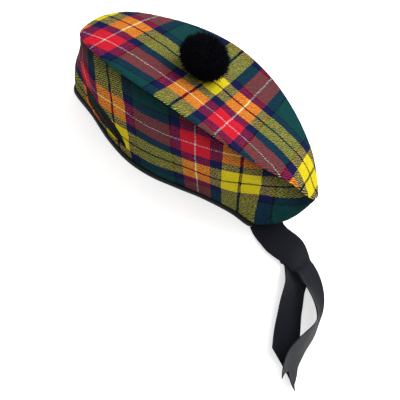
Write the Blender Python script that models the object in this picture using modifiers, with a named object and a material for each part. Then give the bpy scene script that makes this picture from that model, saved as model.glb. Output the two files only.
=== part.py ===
"""Glengarry: a folding cloth cap with a leaf-shaped crown, two side walls, a ribbon-bound rim,
a wool pompom on top, a ribbon cockade low on the left side and two ribbon tails at the back.

Metres, +Z up. The front of the cap faces -Y and the wearer's left is +X. The cap stands on its
rim on the plane z = 0, with the tails lying on the same plane.
"""

import math

import bmesh
import bpy
import numpy as np

# Cloth, ribbon and clearances
CLOTH = 0.002
RIBBON = 0.001
CLEARANCE = 0.0003
SEAM_GAP = 0.0012

# The body of the cap
CROWN_LENGTH = 0.280
CROWN_WIDTH = 0.158
CROWN_HEIGHT = 0.120
CROWN_DISH = 0.0066
RIM_LENGTH = 0.250
RIM_WIDTH = 0.084
WALL_BULGE = 0.002

# Ribbon binding round the rim
BINDING_HEIGHT = 0.009
BINDING_EASE = 0.0010

# Pompom
TOORIE_WIDTH = 0.047
TOORIE_HEIGHT = 0.038
TOORIE_FROM_FRONT = 0.115
TOORIE_ASIDE = 0.006
TOORIE_LOCKS = 48
LOCK_WIDTH = 0.011
LOCK_DEPTH = 0.004
TOORIE_SUNK = 0.04

# Cockade: a ribbon strip behind a leaf-shaped opening in the left wall
COCKADE_LENGTH = 0.066
COCKADE_WIDTH = 0.032
COCKADE_HEIGHT = 0.032
COCKADE_FROM_FRONT = 0.036
COCKADE_HEM = 0.003

# Ribbon tails
TAIL_WIDTH = 0.034
LONG_TAIL = 0.207
SHORT_TAIL = 0.183
TAIL_NOTCH = 0.012
TAIL_SLANT = 0.018
TAIL_BEHIND_RIM = 0.0134
TAIL_ASIDE = 0.0008

# A row for each section from front to back: how far along the rim, the rim's half width,
# how far along the crown, the crown's half width, the crown edge's height, the dish and how
# much the wall bulges half way up. Lengths are shares of the sizes above.
SECTION_COLUMNS = ("rim_along", "rim_half", "crown_along", "crown_half", "height", "dish",
                   "bulge")
SECTIONS = (
    (0.000, 0.00, 0.000, 0.00, 0.785, -0.2, 2.8),
    (0.0106, 0.17, 0.006, 0.25, 0.785, -0.3, 2.8),
    (0.159, 0.49, 0.037, 0.55, 0.80, -0.8, 2.0),
    (0.297, 0.83, 0.145, 0.81, 0.87, -0.6, 1.2),
    (0.418, 0.98, 0.280, 0.96, 0.95, 0.2, 1.0),
    (0.524, 0.91, 0.435, 1.00, 1.00, 1.0, 1.0),
    (0.636, 0.66, 0.600, 0.92, 0.99, 0.9, 1.0),
    (0.757, 0.36, 0.755, 0.72, 0.93, 0.2, 1.0),
    (0.900, 0.13, 0.892, 0.41, 0.845, -0.4, 1.5),
    (0.976, 0.11, 0.967, 0.205, 0.745, 0.0, 2.8),
    (0.994, 0.08, 0.992, 0.092, 0.714, 0.0, 4.5),
    (1.000, 0.00, 1.000, 0.00, 0.71, 0.0, 5.3),
)
STEPS_PER_SECTION = 3
WALL_STEPS = 6
CROWN_STEPS = 12

# A row for each station of the cockade: share of its length, share of its height above the
# rim and share of its half width.
COCKADE_COLUMNS = ("along", "height", "half")
COCKADE_ROWS = (
    (0.00, 0.80, 0.60),
    (0.12, 0.90, 0.85),
    (0.30, 1.00, 1.00),
    (0.55, 1.03, 0.93),
    (0.78, 0.95, 0.75),
    (0.92, 0.80, 0.48),
    (1.00, 0.66, 0.18),
)
COCKADE_STEPS = 3

# A row for each station of a tail: share of its length, heading and tilt in degrees, and its
# lift over what lies under it in ribbon thicknesses. Heading 90 runs straight back and 0 runs
# to the wearer's left. A tilt raises the edge on the left of the heading, a negative tilt the
# other edge, and at 90 the ribbon stands on edge.
TAIL_COLUMNS = ("along", "heading", "tilt", "lift")
LONG_TAIL_ROWS = (
    (0.000, 36, 42, 3.0),
    (0.100, 86, 39, 3.5),
    (0.200, 91, 30, 5.3),
    (0.300, 64, -4, 7.5),
    (0.400, 36, -14, 5.7),
    (0.500, 18, -31, 3.6),
    (0.600, 14, -53, 1.5),
    (0.700, -10, -63, 0.0),
    (0.800, -14, -56, 0.9),
    (0.900, -2, -45, 2.4),
    (1.000, 28, -38, 3.0),
)
SHORT_TAIL_ROWS = (
    (0.000, 46, 43, 0.0),
    (0.080, 93, 39, 0.0),
    (0.160, 99, 28, 0.0),
    (0.240, 65, 10, 0.0),
    (0.320, 26, -3, 0.0),
    (0.400, 5, -13, 0.0),
    (0.480, 14, -23, 0.0),
    (0.570, 10, -23, 0.0),
    (0.670, 16, -19, 0.0),
    (0.780, 15, -15, 0.0),
    (0.890, 17, -14, 0.0),
    (1.000, 0, -14, 0.0),
)
TAIL_STEPS = 36
TAIL_STRIPS = 2


def clear_scene():
    for obj in list(bpy.data.objects):
        bpy.data.objects.remove(obj, do_unlink=True)


def new_collection(name, hidden=False):
    collection = bpy.data.collections.new(name)
    bpy.context.scene.collection.children.link(collection)
    collection.hide_render = hidden
    return collection


def material(name, colour, roughness):
    made = bpy.data.materials.new(name)
    made.use_nodes = True
    shader = made.node_tree.nodes["Principled BSDF"]
    shader.inputs["Base Color"].default_value = (*colour, 1.0)
    shader.inputs["Roughness"].default_value = roughness
    shader.inputs["Metallic"].default_value = 0.0
    made.diffuse_color = (*colour, 1.0)
    return made


def smooth_rows(rows, steps):
    """A centripetal Catmull-Rom curve through the rows, steps samples to each interval.
    The first and last rows are doubled back by the rows next to them, as they stand."""
    rows = np.asarray(rows, float)
    samples = []
    for a, b, c, d in zip(rows[:-3], rows[1:-2], rows[2:-1], rows[3:]):
        knots = np.cumsum([0.0] + [max(math.sqrt(np.linalg.norm(q - p)), 1e-6)
                                   for p, q in ((a, b), (b, c), (c, d))])
        for step in range(steps):
            at = knots[1] + (knots[2] - knots[1]) * step / steps

            def blend(p, q, first, last):
                return p + (q - p) * (at - knots[first]) / (knots[last] - knots[first])

            ab, bc, cd = blend(a, b, 0, 1), blend(b, c, 1, 2), blend(c, d, 2, 3)
            samples.append(blend(blend(ab, bc, 0, 2), blend(bc, cd, 1, 3), 1, 2))
    samples.append(rows[-2])
    return np.array(samples)


def half_loop(points, steps):
    """The left half of a loop that is its own mirror image across x = 0."""
    flip = np.array([-1.0] + [1.0] * (points.shape[1] - 1))
    return smooth_rows(np.vstack([points[1] * flip, points, points[-2] * flip]), steps)


def column(table, columns, name):
    return np.array([row[columns.index(name)] for row in table])


def section(name):
    return column(SECTIONS, SECTION_COLUMNS, name)


def body_lines():
    """The left half of the rim line and of the crown's edge line, and the crown's dish and the
    wall's bulge at each station."""
    front = -CROWN_LENGTH / 2
    rim = np.column_stack([
        section("rim_half") * RIM_WIDTH / 2,
        front + section("rim_along") * RIM_LENGTH,
        np.zeros(len(SECTIONS)),
    ])
    edge = np.column_stack([
        section("crown_half") * CROWN_WIDTH / 2,
        front + section("crown_along") * CROWN_LENGTH,
        section("height") * CROWN_HEIGHT,
        section("dish") * CROWN_DISH,
        section("bulge") * WALL_BULGE,
    ])
    edge = half_loop(edge, STEPS_PER_SECTION)
    return half_loop(rim, STEPS_PER_SECTION), edge[:, :3], edge[:, 3], edge[:, 4]


def unit(vectors):
    return vectors / np.linalg.norm(vectors, axis=-1, keepdims=True)


def wall_frame(rim, edge):
    """At each station the wall's upward direction and its outward normal."""
    along = np.gradient(rim, axis=0)
    along[0] = along[-1] = (1.0, 0.0, 0.0)
    along[-1] *= -1.0
    up = unit(edge - rim)
    return up, unit(np.cross(unit(along), up))


def wall_point(rim, edge, bulge, share, inward):
    """The wall's outer face at a share of its height, moved inward; share has a column each."""
    _, outward = wall_frame(rim, edge)
    ruled = rim[:, None] + (edge - rim)[:, None] * share[..., None]
    swell = (bulge[:, None] * np.sin(np.pi * share))[..., None]
    return ruled + outward[:, None] * (swell - inward)


def crown_top(edge, dish, across):
    """The crown's upper face: the edge line spanned by a parabola that dips by the dish."""
    x = edge[:, 0, None] * across
    y = np.repeat(edge[:, 1, None], len(across), axis=1)
    z = edge[:, 2, None] - dish[:, None] * (1 - across**2)
    return np.stack([x, y, z], axis=-1)


def crown_height_at(edge, dish, x, y):
    half = np.maximum(np.interp(y, edge[:, 1], edge[:, 0]), CLOTH)
    dip = np.interp(y, edge[:, 1], dish)
    return np.interp(y, edge[:, 1], edge[:, 2]) - dip * (1 - (x / half) ** 2)


def grid_mesh(name, grid, close_rows=False):
    """An open surface of quads through a grid of points, whose rows may join up in a ring."""
    rows, columns = grid.shape[:2]
    index = np.arange(rows * columns).reshape(rows, columns)
    if close_rows:
        index = np.vstack([index, index[:1]])
    faces = np.stack([index[:-1, :-1], index[1:, :-1], index[1:, 1:], index[:-1, 1:]], axis=-1)
    mesh = bpy.data.meshes.new(name)
    mesh.from_pydata(grid.reshape(-1, 3).tolist(), [], faces.reshape(-1, 4).tolist())
    mesh.validate()
    return mesh


def add_object(name, mesh, collection, finish=None):
    obj = bpy.data.objects.new(name, mesh)
    collection.objects.link(obj)
    if finish:
        mesh.materials.append(finish)
    mesh.shade_smooth()
    mesh.set_sharp_from_angle(angle=math.radians(40))
    return obj


def thicken(obj, thickness, offset=-1.0, even=False):
    """Gives an open surface its wall: offset -1 grows it inward, 0 to both sides."""
    wall = obj.modifiers.new("wall", "SOLIDIFY")
    wall.thickness = thickness
    wall.offset = offset
    wall.use_even_offset = even
    wall.use_quality_normals = True
    return wall


def make_crown(edge, dish, collection, finish):
    across = np.linspace(-1, 1, CROWN_STEPS + 1)
    grid = crown_top(edge, dish, across)
    crown = add_object("crown", grid_mesh("crown", grid[1:-1, ::-1]), collection, finish)
    thicken(crown, CLOTH)
    return crown


def wall_top(edge, rim, dish):
    """How far below the crown's upper face each station of the wall stops, so that the top of
    its leaning inner face still clears the crown's lower face."""
    height = edge[:, 2]
    flare = np.linalg.norm(edge[:, :2] - rim[:, :2], axis=1) / height
    slope = np.clip(2 * dish / np.maximum(edge[:, 0], CLOTH), 0, 0.3)
    climb = np.clip(np.gradient(edge[:, 2]) / (np.gradient(edge[:, 1]) + RIBBON), -0.5, 0.5)
    return CLOTH * (np.sqrt(1 + slope**2 + climb**2) + flare + slope) + 2 * CLEARANCE


def make_side(name, side, lines, collection, finish):
    """One side wall, from just over the binding's floor to just under the crown."""
    rim, edge, dish, bulge = lines
    height = edge[:, 2]
    low = (RIBBON + BINDING_EASE) / height
    high = 1 - wall_top(edge, rim, dish) / height
    share = low[:, None] + (high - low)[:, None] * np.linspace(0, 1, WALL_STEPS + 1)
    grid = wall_point(rim, edge, bulge, share, 0.0)
    grid[..., 0] = np.maximum(grid[..., 0], SEAM_GAP / 2) * side
    mesh = grid_mesh(name, grid if side > 0 else grid[:, ::-1])
    wall = add_object(name, mesh, collection, finish)
    thicken(wall, CLOTH)
    return wall


def cockade_patch(lines, inward, hem):
    """The wall's surface inside the cockade's outline, grown by a hem on every side."""
    rim, edge, _, bulge = lines
    rows = np.vstack([COCKADE_ROWS[0], COCKADE_ROWS, COCKADE_ROWS[-1]])
    rows = smooth_rows(rows, COCKADE_STEPS)
    along, height, half = rows.T
    front = rim[0, 1] + COCKADE_FROM_FRONT
    y = front - hem + along * (COCKADE_LENGTH + 2 * hem)
    station = np.interp(y, rim[:, 1], np.arange(len(rim)))

    def at(line):
        return np.column_stack([np.interp(station, np.arange(len(line)), values)
                                for values in line.T])

    rim_here, edge_here, bulge_here = at(rim), at(edge), at(bulge[:, None])
    middle = height * COCKADE_HEIGHT
    reach = half * COCKADE_WIDTH / 2 + hem
    z = middle[:, None] + reach[:, None] * np.linspace(-1, 1, 5)
    share = z / edge_here[:, 2, None]
    outward = unit(at(wall_frame(rim, edge)[1]))
    ruled = rim_here[:, None] + (edge_here - rim_here)[:, None] * share[..., None]
    swell = (bulge_here * np.sin(np.pi * share))[..., None]
    return ruled + outward[:, None] * (swell - inward)


def cut_cockade_opening(wall, lines, cutters):
    """Cuts the leaf-shaped opening that the cockade shows through."""
    cutter = add_object("cockade_cutter", grid_mesh("cockade_cutter", cockade_patch(lines, 0, 0)),
                        cutters)
    thicken(cutter, 4 * CLOTH, offset=0.0)
    cutter.hide_render = True
    cutter.display_type = "WIRE"
    cut = wall.modifiers.new("cockade_opening", "BOOLEAN")
    cut.operation = "DIFFERENCE"
    cut.object = cutter


def make_cockade(lines, collection, finish):
    grid = cockade_patch(lines, CLOTH + 2 * CLEARANCE, COCKADE_HEM)
    cockade = add_object("cockade", grid_mesh("cockade", grid), collection, finish)
    thicken(cockade, RIBBON)
    return cockade


def make_binding(lines, collection, finish):
    """Ribbon folded round the rim: a U-shaped section that stands flat on the floor."""
    rim, edge, _, bulge = lines
    _, outward = wall_frame(rim, edge)
    flat_out = unit(outward * (1, 1, 0))
    shell = BINDING_EASE + RIBBON
    share = (BINDING_HEIGHT / edge[:, 2])[:, None]
    half = np.stack([
        wall_point(rim, edge, bulge, share, -shell)[:, 0],
        rim + flat_out * shell,
        rim - flat_out * (CLOTH + shell),
        wall_point(rim, edge, bulge, share, CLOTH + shell)[:, 0],
    ], axis=1)
    mirrored = half[-2:0:-1] * (-1, 1, 1)
    ring = np.concatenate([half, mirrored])
    binding = add_object("edge_binding", grid_mesh("edge_binding", ring[::-1], close_rows=True),
                         collection, finish)
    thicken(binding, RIBBON, even=True)
    return binding


def lock_directions(count):
    """Directions spread evenly over a sphere along a golden-angle spiral."""
    index = np.arange(count) + 0.5
    polar = np.arccos(1 - 2 * index / count)
    turn = np.pi * (1 + math.sqrt(5)) * index
    return np.column_stack([np.cos(turn) * np.sin(polar), np.sin(turn) * np.sin(polar),
                            np.cos(polar)])


def make_toorie(edge, dish, collection, finish):
    """A pompom: a round head with rounded locks of wool fused to it, flat where it is sewn on.
    Each lock is a half-round bump, a quarter wider than its spacing so that the locks merge."""
    shape = bmesh.new()
    bmesh.ops.create_icosphere(shape, subdivisions=4, radius=1.0)
    ball = np.array([vertex.co for vertex in shape.verts])
    apart = np.arccos(np.clip(ball @ lock_directions(TOORIE_LOCKS).T, -1, 1)).min(axis=1)
    reach = LOCK_WIDTH / TOORIE_WIDTH
    lock = np.sqrt(np.clip(1 - (apart / (1.25 * reach)) ** 2, 0, 1))
    radius = TOORIE_WIDTH / 2 - LOCK_DEPTH * (1 - lock)
    points = ball * radius[:, None]
    points[:, 2] *= TOORIE_HEIGHT / TOORIE_WIDTH
    x = TOORIE_ASIDE
    y = edge[0, 1] + TOORIE_FROM_FRONT
    seat = crown_height_at(edge, dish, x, y)
    points += (x, y, seat + (0.5 - TOORIE_SUNK) * TOORIE_HEIGHT)
    floor = crown_height_at(edge, dish, points[:, 0], points[:, 1]) + CLEARANCE
    points[:, 2] = np.maximum(points[:, 2], floor)
    for vertex, point in zip(shape.verts, points):
        vertex.co = point
    mesh = bpy.data.meshes.new("toorie")
    shape.to_mesh(mesh)
    shape.free()
    return add_object("toorie", mesh, collection, finish)


def tail_frames(rows, length, start):
    """Dense stations of a tail: distance along, centre, and the direction across the ribbon."""
    table = np.array(rows, float)
    table = np.vstack([table[0], table, table[-1]])
    along, heading, tilt, lift = smooth_uniform(table, TAIL_STEPS).T
    heading, tilt = np.radians(heading), np.radians(tilt)
    run = along * length
    ahead = np.column_stack([np.cos(heading), np.sin(heading)])
    steps = (ahead[1:] + ahead[:-1]) / 2 * np.diff(run)[:, None]
    plan = np.asarray(start) + np.vstack([[0.0, 0.0], np.cumsum(steps, axis=0)])
    low = np.abs(np.sin(tilt)) * TAIL_WIDTH / 2 + np.abs(np.cos(tilt)) * RIBBON / 2
    centre = np.column_stack([plan, low + lift * RIBBON])
    across = np.column_stack([-np.sin(heading) * np.cos(tilt), np.cos(heading) * np.cos(tilt),
                              np.sin(tilt)])
    return run, centre, across


def smooth_uniform(rows, steps):
    """An evenly timed Catmull-Rom curve through all rows but the first and last."""
    samples = []
    for a, b, c, d in zip(rows[:-3], rows[1:-2], rows[2:-1], rows[3:]):
        for step in range(steps):
            s = step / steps
            samples.append(0.5 * (2 * b + (c - a) * s + (2 * a - 5 * b + 4 * c - d) * s**2
                                  + (3 * b - a - 3 * c + d) * s**3))
    samples.append(rows[-2])
    return np.array(samples)


def make_tail(name, rows, length, start, cut, collection, finish):
    """A ribbon laid on the floor; cut gives how much shorter each share across it is."""
    run, centre, across = tail_frames(rows, length, start)
    side = np.linspace(-1, 1, 2 * TAIL_STRIPS + 1)
    share = np.linspace(0, 1, TAIL_STEPS + 1)
    at = share[:, None] * (length - cut(side))[None, :]
    grid = np.stack([np.interp(at, run, centre[:, i])
                     + np.interp(at, run, across[:, i]) * side * TAIL_WIDTH / 2
                     for i in range(3)], axis=-1)
    grid[..., 2] = np.maximum(grid[..., 2], RIBBON / 2)
    tail = add_object(name, grid_mesh(name, grid), collection, finish)
    thicken(tail, RIBBON, offset=0.0)
    return tail


def stand_at_origin(collection, cutters):
    """Hangs every piece on an empty that brings the middle of the whole part's footprint to
    the origin, with the floor at z = 0."""
    base = bpy.data.objects.new("cap_base", None)
    collection.objects.link(base)
    pieces = [obj for obj in collection.objects if obj.type == "MESH"]
    bpy.context.view_layer.update()
    graph = bpy.context.evaluated_depsgraph_get()
    corners = []
    for piece in pieces:
        evaluated = piece.evaluated_get(graph)
        mesh = evaluated.to_mesh()
        points = np.empty(len(mesh.vertices) * 3, np.float32)
        mesh.vertices.foreach_get("co", points)
        evaluated.to_mesh_clear()
        points = points.reshape(-1, 3)
        corners += [points.min(axis=0), points.max(axis=0)]
    middle = (np.min(corners, axis=0) + np.max(corners, axis=0)) / 2
    base.location = (-middle[0], -middle[1], 0.0)
    for piece in pieces + list(cutters.objects):
        piece.parent = base


def main():
    clear_scene()
    parts = new_collection("glengarry")
    cutters = new_collection("cutters", hidden=True)
    tartan = material("tartan", (0.35, 0.16, 0.10), 0.85)
    ribbon = material("black_ribbon", (0.012, 0.013, 0.018), 0.55)
    wool = material("black_wool", (0.006, 0.006, 0.008), 0.95)
    lines = body_lines()
    rim, edge, dish, _ = lines
    make_crown(edge, dish, parts, tartan)
    left = make_side("left_side", 1, lines, parts, tartan)
    make_side("right_side", -1, lines, parts, tartan)
    cut_cockade_opening(left, lines, cutters)
    make_cockade(lines, parts, ribbon)
    make_binding(lines, parts, ribbon)
    make_toorie(edge, dish, parts, wool)
    start = (TAIL_ASIDE, rim[-1, 1] + TAIL_BEHIND_RIM)
    make_tail("long_tail", LONG_TAIL_ROWS, LONG_TAIL, start,
              lambda side: TAIL_NOTCH * (1 - np.abs(side)), parts, ribbon)
    make_tail("short_tail", SHORT_TAIL_ROWS, SHORT_TAIL, start,
              lambda side: TAIL_SLANT * (1 - side) / 2, parts, ribbon)
    stand_at_origin(parts, cutters)


main()
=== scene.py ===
# %% [markdown]
# # A tartan glengarry
# A glengarry is a boat-shaped cap that folds flat: a leaf-shaped crown, two side walls that meet
# at a front and a back seam, a ribbon folded round the rim, a wool pompom (the toorie) on top, a
# ribbon cockade on the left side and two ribbon tails at the back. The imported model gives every
# piece its place and size. Here each piece gets its cloth, as surfaces worked out from the same
# lines that the model is made from.

# %% Load the frame
import math

import bmesh
import bpy
import numpy as np
from mathutils import Matrix, Vector


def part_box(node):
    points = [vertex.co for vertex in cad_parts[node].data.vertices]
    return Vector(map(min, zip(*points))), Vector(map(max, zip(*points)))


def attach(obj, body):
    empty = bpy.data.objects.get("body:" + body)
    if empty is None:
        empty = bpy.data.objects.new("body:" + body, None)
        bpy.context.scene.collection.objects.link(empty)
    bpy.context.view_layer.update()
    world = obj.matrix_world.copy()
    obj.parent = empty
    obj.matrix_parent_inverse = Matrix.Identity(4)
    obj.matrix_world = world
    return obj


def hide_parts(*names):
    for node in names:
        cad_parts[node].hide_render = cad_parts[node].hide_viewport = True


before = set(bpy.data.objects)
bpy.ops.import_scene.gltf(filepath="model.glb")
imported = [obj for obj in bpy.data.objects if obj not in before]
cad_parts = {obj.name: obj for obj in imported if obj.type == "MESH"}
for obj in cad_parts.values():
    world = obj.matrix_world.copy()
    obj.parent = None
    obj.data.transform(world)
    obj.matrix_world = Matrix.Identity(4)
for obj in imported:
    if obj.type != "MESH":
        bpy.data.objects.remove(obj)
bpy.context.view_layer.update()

print("packed pieces:", sorted(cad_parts))

# %% [markdown]
# ## Sizes
# All lengths are in metres. The cap's own plane of symmetry is x = 0 and its crown is centred on
# y = 0, with the front towards -Y and the wearer's left towards +X. The crown's box in the packed
# model says where that centre stands, so one shift carries every piece to its place.

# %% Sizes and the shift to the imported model
CLOTH = 0.002
RIBBON = 0.001
CROWN_LENGTH = 0.280
CROWN_WIDTH = 0.158
CROWN_HEIGHT = 0.120
CROWN_DISH = 0.0066
RIM_LENGTH = 0.250
RIM_WIDTH = 0.084
WALL_BULGE = 0.002
BINDING_HEIGHT = 0.009
BINDING_EASE = 0.0010

crown_low, crown_high = (np.array(corner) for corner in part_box("crown"))
SHIFT = (crown_low + crown_high) / 2 * (1, 1, 0)
print("cap centre stands at", SHIFT.round(4))

# %% [markdown]
# ## The cap's lines
# A tailor cuts this cap from two curved edges: the rim, which lies on the floor, and the crown's
# edge above it. A short table of sections, as shares of the sizes, says how wide and how high each
# is from front to back. A smooth curve through the rows is the way that needs the fewest numbers
# and leaves no flats.

# %% Sections from front to back
SECTION_COLUMNS = ("rim_along", "rim_half", "crown_along", "crown_half", "height", "dish",
                   "bulge")
SECTIONS = np.array([
    (0.000, 0.00, 0.000, 0.00, 0.785, -0.2, 2.8),
    (0.0106, 0.17, 0.006, 0.25, 0.785, -0.3, 2.8),
    (0.159, 0.49, 0.037, 0.55, 0.80, -0.8, 2.0),
    (0.297, 0.83, 0.145, 0.81, 0.87, -0.6, 1.2),
    (0.418, 0.98, 0.280, 0.96, 0.95, 0.2, 1.0),
    (0.524, 0.91, 0.435, 1.00, 1.00, 1.0, 1.0),
    (0.636, 0.66, 0.600, 0.92, 0.99, 0.9, 1.0),
    (0.757, 0.36, 0.755, 0.72, 0.93, 0.2, 1.0),
    (0.900, 0.13, 0.892, 0.41, 0.845, -0.4, 1.5),
    (0.976, 0.11, 0.967, 0.205, 0.745, 0.0, 2.8),
    (0.994, 0.08, 0.992, 0.092, 0.714, 0.0, 4.5),
    (1.000, 0.00, 1.000, 0.00, 0.71, 0.0, 5.3),
])


def section(name):
    return SECTIONS[:, SECTION_COLUMNS.index(name)]


def smooth_rows(rows, steps, even=False):
    """Catmull-Rom curve through all rows but the first and last. Each knot follows the one
    before by the square root of the distance between their rows, or by one where even. A point
    is the blend of three lines, then of two, then of one, by its place between the knots."""
    rows = np.asarray(rows, float)
    gaps = np.sqrt(np.linalg.norm(np.diff(rows, axis=0), axis=1)).clip(1e-6)
    gaps = np.ones_like(gaps) if even else gaps
    knots = np.stack([0 * gaps[:-2], gaps[:-2], gaps[:-2] + gaps[1:-1],
                      gaps[:-2] + gaps[1:-1] + gaps[2:]])
    at = knots[1][:, None] + gaps[1:-1][:, None] * np.arange(steps) / steps

    def blend(p, q, first, last):
        weight = (at - knots[first][:, None]) / (knots[last] - knots[first])[:, None]
        return p + (q - p) * weight[..., None]

    a, b, c, d = (rows[i:len(rows) - 3 + i, None] for i in range(4))
    ab, bc, cd = blend(a, b, 0, 1), blend(b, c, 1, 2), blend(c, d, 2, 3)
    curve = blend(blend(ab, bc, 0, 2), blend(bc, cd, 1, 3), 1, 2)
    return np.vstack([curve.reshape(-1, rows.shape[1]), rows[-2:-1]])


def half_loop(points, steps):
    """The left half of a loop that is its own mirror image across x = 0."""
    flip = np.array([-1.0] + [1.0] * (points.shape[1] - 1))
    return smooth_rows(np.vstack([points[1] * flip, points, points[-2] * flip]), steps)


LINE_STEPS = 48
front = -CROWN_LENGTH / 2
rim = half_loop(np.column_stack([
    section("rim_half") * RIM_WIDTH / 2,
    front + section("rim_along") * RIM_LENGTH,
    np.zeros(len(SECTIONS)),
]), LINE_STEPS)
edge = half_loop(np.column_stack([
    section("crown_half") * CROWN_WIDTH / 2,
    front + section("crown_along") * CROWN_LENGTH,
    section("height") * CROWN_HEIGHT,
    section("dish") * CROWN_DISH,
    section("bulge") * WALL_BULGE,
]), LINE_STEPS)
edge, dish, bulge = edge[:, :3], edge[:, 3], edge[:, 4]
print("stations along half the cap:", len(rim))

# %% Helpers for lines
def unit(vectors):
    return vectors / np.linalg.norm(vectors, axis=-1, keepdims=True)


def at(line, station):
    """A line's value at fractional stations, straight between its samples."""
    line = line.reshape(len(line), -1)
    whole = np.arange(len(line))
    found = [np.interp(station, whole, line[:, i]) for i in range(line.shape[1])]
    return np.stack(found, axis=-1)


def between(low_line, high_line, station, share):
    """The points at shares of the way from one line to the other, at each station."""
    low, high = at(low_line, station)[:, None], at(high_line, station)[:, None]
    return low + (high - low) * share[..., None]


def lengths_along(line):
    """The distance run along a line up to each of its points."""
    steps = np.linalg.norm(np.diff(line, axis=0), axis=1)
    return np.concatenate([[0.0], np.cumsum(steps)])


def distance_to(points, outline):
    """The distance from each point to an outline, each segment met square on or at an end."""
    flat = points.reshape(-1, 1, points.shape[-1])
    step = np.diff(outline, axis=0)
    share = np.sum((flat - outline[:-1]) * step, axis=-1) / np.sum(step**2, axis=-1).clip(1e-12)
    nearest = outline[:-1] + np.clip(share, 0, 1)[..., None] * step
    return np.linalg.norm(flat - nearest, axis=-1).min(axis=1).reshape(points.shape[:-1])


def even_stations(line, count):
    """Stations that lie evenly along a line, without its two end points."""
    run = lengths_along(line)
    return np.interp(np.linspace(0, run[-1], count + 2)[1:-1], run, np.arange(len(line)))


def crowded(shares, crowding):
    """Shares drawn together towards their ends, by a sine of a part of a quarter turn."""
    return np.sin(shares * np.pi / 2 * crowding) / math.sin(np.pi / 2 * crowding)


print("rim half length", lengths_along(rim)[-1].round(4))
print("crown's edge half length", lengths_along(edge)[-1].round(4))

# %% [markdown]
# ## What sewing does to cloth
# A sewn edge rolls over its seam, the seam puckers the cloth beside it, and a panel swells a
# little between its seams. Sculpting could add all three, but as formulas of the distance to a
# seam they follow every change of the lines and stay the same from run to run.

# %% Rolled edges, swells and puckers
ROLL_TURN = 0.9
WAVES = 5
WAVE_LENGTH_SHARES = (0.7, 1.6)
WAVE_GAIN = 1.6
PUCKER = 0.00035
PUCKER_BEAT = 0.05
PUCKER_REACH = 0.003


def roll(distance, radius):
    """How far a rolled edge has turned away: an arc of that radius, which stops at ROLL_TURN of
    a quarter circle's reach so that it never stands upright."""
    left = np.clip(radius - distance, 0, radius) * ROLL_TURN
    return radius - np.sqrt(radius**2 - left**2)


def waves(u, v, length, seed):
    """Soft unevenness from about -1 to 1: the mean of a few sine waves near that length, each
    in its own direction and phase, times a gain, because they partly cancel."""
    rng = np.random.default_rng(seed)
    turn, phase = rng.uniform(0, 2 * np.pi, (2, WAVES))
    pace = 2 * np.pi / (length * rng.uniform(*WAVE_LENGTH_SHARES, WAVES))
    inner = u[..., None] * np.cos(turn) * pace + v[..., None] * np.sin(turn) * pace + phase
    return np.sin(inner).mean(axis=-1) * WAVE_GAIN


def swells(u, v, bands, calm):
    """Waves of several lengths added up. A band is a length, a height and a seed, and all are
    multiplied by calm, which fades them out towards an edge."""
    return sum(waves(u, v, length, seed) * height * calm for length, height, seed in bands)


def puckers(run, u, v, inside, spacing, crest, seed):
    """Small puckers beside a seam: a sine of the run with an uneven beat, times a bell curve of
    the distance inside the seam, highest at the crest's distance."""
    beat = np.sin(2 * np.pi * run / spacing + 2 * waves(u, v, PUCKER_BEAT, seed))
    return PUCKER * beat * np.exp(-(((inside - crest) / PUCKER_REACH) ** 2))


print("a 3 mm rolled edge turns away by", roll(np.array(0.0), 0.003).round(4))

# %% [markdown]
# ## From a grid to a mesh
# Every sheet of cloth here is a grid of points, with a second grid that holds its place on the
# flat cloth in metres. That second grid becomes the UV map, so a weave keeps its true size and
# follows the surface, as real cloth does. Solidify then gives the sheet its thickness.

# %% Mesh and object makers
MERGE_WITHIN = 1e-6
scene = bpy.context.scene
parts = bpy.data.collections.new("dressed_glengarry")
scene.collection.children.link(parts)


def surface(name, grid, flat, opening=None, shade=None):
    """A quad for each cell of a grid of points, except the cells of an opening. Points that
    fall together, such as where a loop closes, are merged. A second map may hold a shade, as
    a pair of equal values for each point."""
    rows, columns = grid.shape[:2]
    index = np.arange(rows * columns).reshape(rows, columns)
    quads = np.stack([index[:-1, :-1], index[1:, :-1], index[1:, 1:], index[:-1, 1:]], axis=-1)
    quads = quads.reshape(-1, 4) if opening is None else quads[~opening]
    used, corners = np.unique(quads, return_inverse=True)
    mesh = bpy.data.meshes.new(name)
    mesh.vertices.add(len(used))
    mesh.vertices.foreach_set("co", (grid + SHIFT).reshape(-1, 3)[used].ravel())
    mesh.loops.add(quads.size)
    mesh.loops.foreach_set("vertex_index", corners.ravel())
    mesh.polygons.add(len(quads))
    mesh.polygons.foreach_set("loop_start", np.arange(0, quads.size, 4))
    mesh.update(calc_edges=True)
    for uv_map, pairs in (("cloth", flat), ("shade", shade)):
        if pairs is not None:
            layer = mesh.uv_layers.new(name=uv_map)
            layer.data.foreach_set("uv", pairs.reshape(-1, 2)[quads].ravel())
    merge = bmesh.new()
    merge.from_mesh(mesh)
    bmesh.ops.remove_doubles(merge, verts=merge.verts, dist=MERGE_WITHIN)
    merge.to_mesh(mesh)
    merge.free()
    return mesh


def piece(mesh, finish, node, thickness=0.0, offset=-1.0):
    """A finished piece that rides on the root body and stands for a node of the model."""
    made = bpy.data.objects.new(mesh.name, mesh)
    parts.objects.link(made)
    mesh.materials.append(finish)
    mesh.shade_smooth()
    if thickness:
        wall = made.modifiers.new("thickness", "SOLIDIFY")
        wall.thickness = thickness
        wall.offset = offset
        wall.use_quality_normals = True
    if node:
        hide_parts(node)
    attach(made, "root")
    print(made.name, "has", len(mesh.polygons), "faces")
    return made


print("pieces go into", parts.name)

# %% [markdown]
# ## Shader maths as Python
# A Value wraps a node's output, and the usual operators add Math nodes, so a pattern reads as a
# formula. A Finish is one material, with a single method that adds any other node.

# %% Value and Finish
BUMP_STRENGTH = 0.8


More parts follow.
